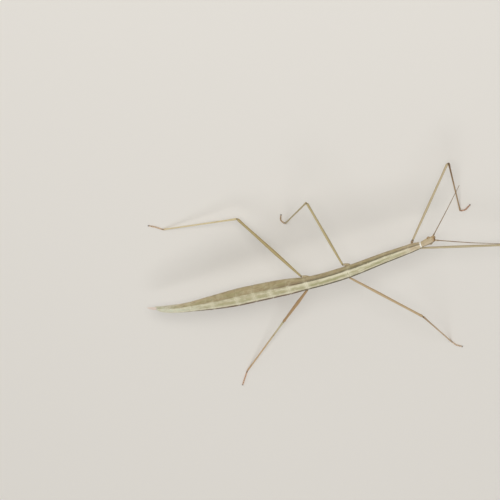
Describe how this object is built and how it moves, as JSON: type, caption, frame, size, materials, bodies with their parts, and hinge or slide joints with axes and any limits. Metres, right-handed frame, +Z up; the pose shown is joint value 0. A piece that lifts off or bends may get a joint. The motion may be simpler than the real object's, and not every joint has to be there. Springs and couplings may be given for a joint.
{
  "type": "giant stick insect",
  "caption": "Slender wingless stick insect at life size, standing on long thin legs with one foreleg folded and the other stretched forward, its antennae spread.",
  "frame": {"origin": "on the floor, under the middle of the box round the whole model", "axes": "+X from tail to head, +Y to the insect's left, +Z up"},
  "size_m": [0.1854, 0.0994, 0.0241],
  "materials": {
    "head": "satin pale khaki-olive cuticle, browner at the front",
    "eye": "glossy dark brown",
    "antenna": "dull grey-brown with faint rings",
    "thorax": "satin cuticle, cream-green back and olive flanks",
    "abdomen": "satin cuticle, pale back with dark edges and olive-brown flanks",
    "tail": "satin, pale mint-cream with a pinkish white tip",
    "femur": "satin olive-brown with tan edges",
    "tibia": "satin dark olive-brown",
    "tarsus": "satin reddish brown"
  },
  "bodies": {
    "root": {"abdomen_10": "tail", "abdomen_2": "abdomen", "abdomen_3": "abdomen", "abdomen_4": "abdomen", "abdomen_5": "abdomen", "abdomen_6": "abdomen", "abdomen_7": "abdomen", "abdomen_8": "tail", "abdomen_9": "tail", "antenna_left": "antenna", "antenna_right": "antenna", "cercus_left": "tail", "cercus_right": "tail", "coxa_fore_left": "femur", "coxa_fore_right": "femur", "coxa_hind_left": "femur", "coxa_hind_right": "femur", "coxa_mid_left": "femur", "coxa_mid_right": "femur", "eye_left": "eye", "eye_right": "eye", "femur_fore_left": "femur", "femur_fore_right": "femur", "femur_hind_left": "femur", "femur_hind_right": "femur", "femur_mid_left": "femur", "femur_mid_right": "femur", "head": "head", "median_segment": "thorax", "mesothorax": "thorax", "metathorax": "thorax", "mouthparts": "head", "operculum": "tail", "prothorax": "thorax", "scape_left": "antenna", "scape_right": "antenna", "tarsus_fore_left": "tarsus", "tarsus_fore_right": "tarsus", "tarsus_hind_left": "tarsus", "tarsus_hind_right": "tarsus", "tarsus_mid_left": "tarsus", "tarsus_mid_right": "tarsus", "tibia_fore_left": "tibia", "tibia_fore_right": "tibia", "tibia_hind_left": "tibia", "tibia_hind_right": "tibia", "tibia_mid_left": "tibia", "tibia_mid_right": "tibia"}
  },
  "joints": []
}
